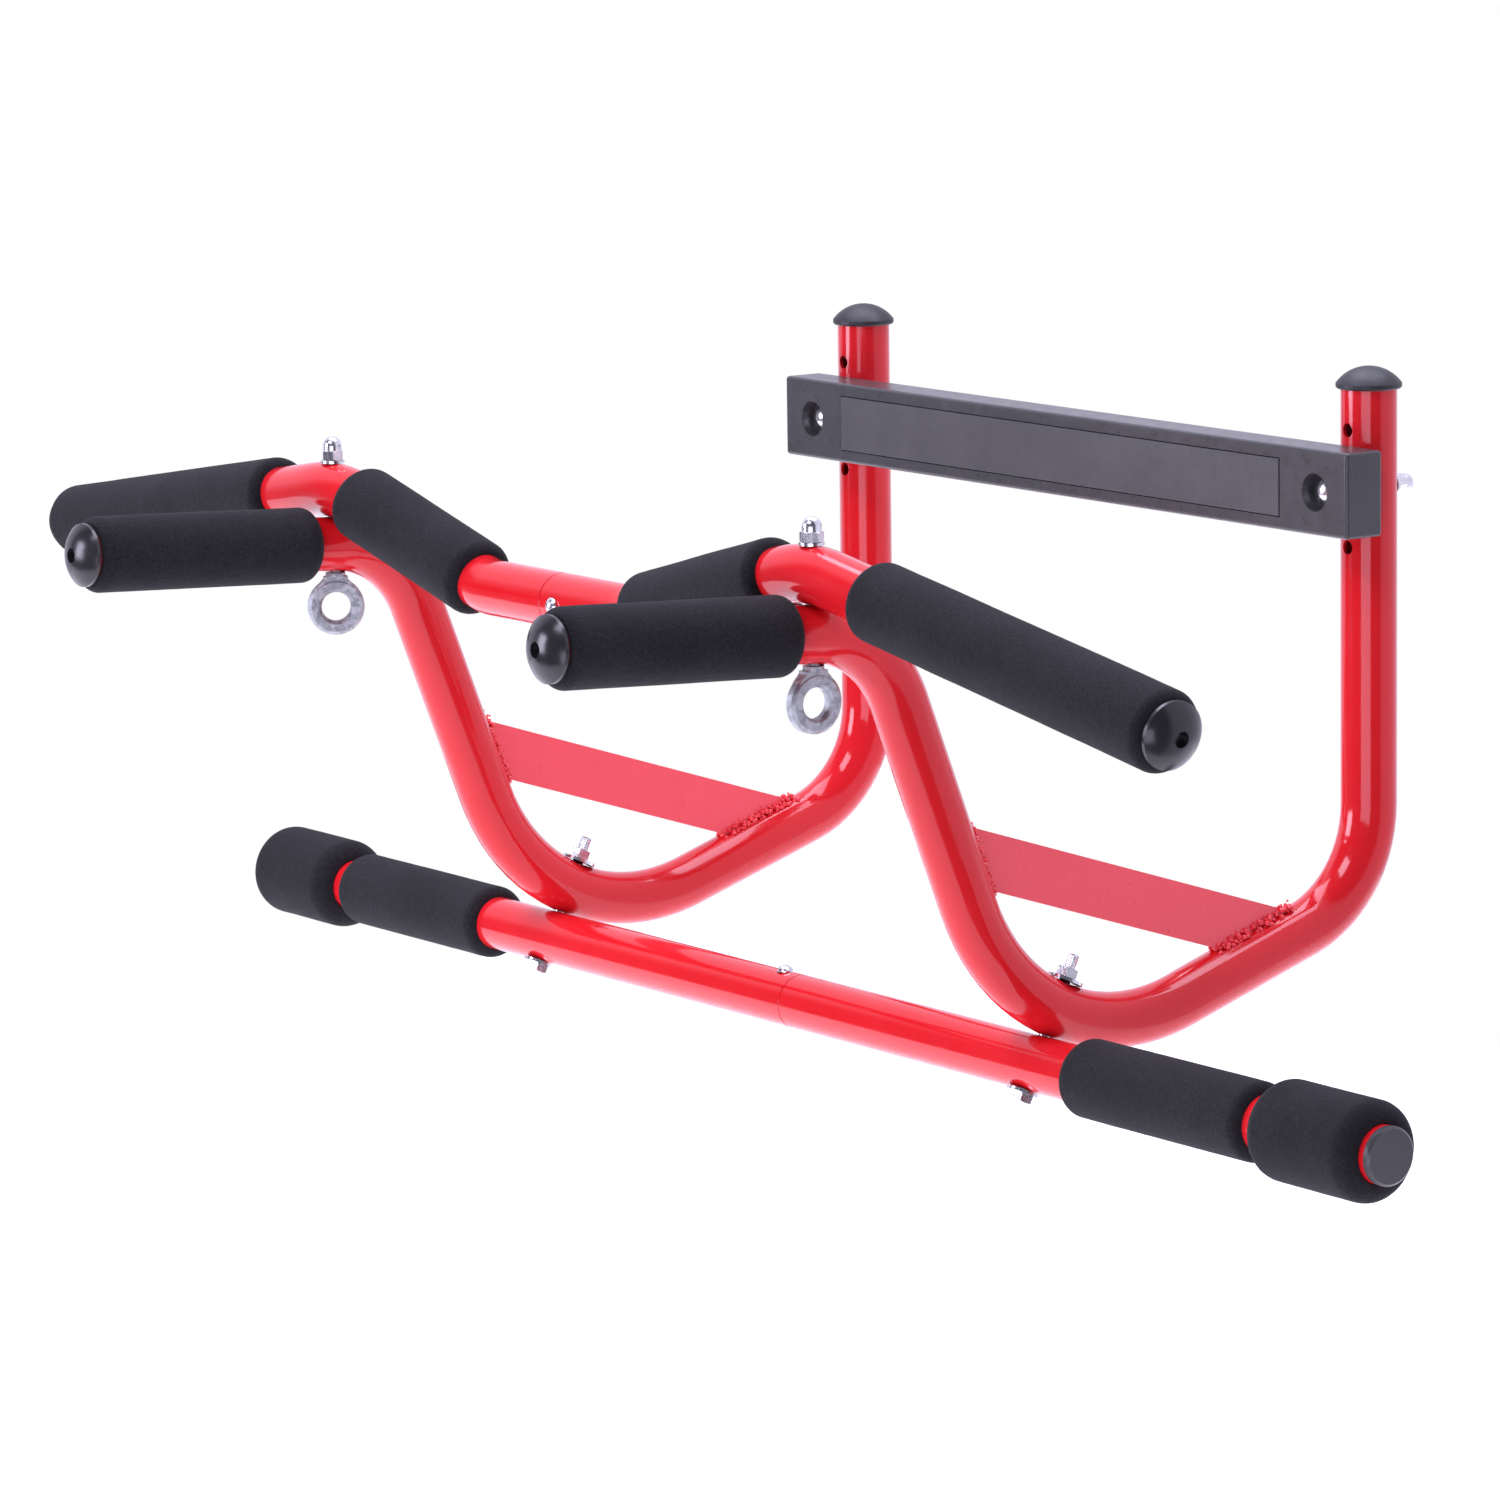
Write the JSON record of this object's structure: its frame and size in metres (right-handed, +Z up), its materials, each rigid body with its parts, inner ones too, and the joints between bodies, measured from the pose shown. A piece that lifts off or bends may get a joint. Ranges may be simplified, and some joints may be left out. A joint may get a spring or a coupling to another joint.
{
  "type": "doorway pull up bar",
  "caption": "Doorway pull up bar with bent side tubes, a long foam covered lower bar, a sloping upper grip bar, front handles, a wall block and strap eyes.",
  "frame": {"origin": "centre of the pad face that bears on the wall", "axes": "+X along the bars, -Y out of the pad face towards the person hanging from the bar, +Z up"},
  "size_m": [0.9688, 0.5231, 0.3469],
  "materials": {
    "red_enamel": "gloss",
    "black_foam": "matte closed cell foam",
    "black_plastic": "satin",
    "block_plastic": "satin",
    "pad_rubber": "matte",
    "bright_zinc": "bright zinc plate",
    "galvanised_steel": "mottled zinc",
    "bare_steel": "plain"
  },
  "bodies": {
    "frame": {"block_bolts": "bright_zinc", "block_nuts": "bright_zinc", "block_washers": "bright_zinc", "bumper_left": "black_foam", "bumper_right": "black_foam", "eye_top_washers": "bright_zinc", "handle_cap_left": "black_plastic", "handle_cap_right": "black_plastic", "handle_grip_left": "black_foam", "handle_grip_right": "black_foam", "left_gusset_bar": "red_enamel", "left_gusset_welds": "red_enamel", "left_side_tube": "red_enamel", "lower_bar_bolts": "bright_zinc", "lower_bar_head_washers": "bright_zinc", "lower_bar_joint_screw": "bright_zinc", "lower_bar_left": "red_enamel", "lower_bar_nut_washers": "bright_zinc", "lower_bar_nuts": "bright_zinc", "lower_bar_right": "red_enamel", "lower_bar_sleeve": "bare_steel", "lower_grip_left": "black_foam", "lower_grip_right": "black_foam", "lower_plug_left": "black_plastic", "lower_plug_right": "black_plastic", "right_gusset_bar": "red_enamel", "right_gusset_welds": "red_enamel", "right_side_tube": "red_enamel", "upper_bar_joint_screw": "bright_zinc", "upper_bar_left": "red_enamel", "upper_bar_right": "red_enamel", "upper_bar_sleeve": "bare_steel", "upper_cap_left": "black_plastic", "upper_cap_right": "black_plastic", "upper_inner_grip_left": "black_foam", "upper_inner_grip_right": "black_foam", "upper_outer_grip_left": "black_foam", "upper_outer_grip_right": "black_foam", "upright_cap_left": "black_plastic", "upright_cap_right": "black_plastic", "wall_block": "block_plastic", "wall_pad": "pad_rubber"},
    "left_eye": {"left_eye_bolt": "galvanised_steel", "left_eye_nut": "bright_zinc"},
    "right_eye": {"right_eye_bolt": "galvanised_steel", "right_eye_nut": "bright_zinc"}
  },
  "joints": [
    {"name": "left_eye_swivel", "type": "hinge", "parent": "frame", "child": "left_eye", "pos_m": [-0.21, -0.304, 0], "axis": [0, 0, 1], "continuous": true},
    {"name": "right_eye_swivel", "type": "hinge", "parent": "frame", "child": "right_eye", "pos_m": [0.21, -0.304, 0], "axis": [0, 0, 1], "continuous": true}
  ]
}
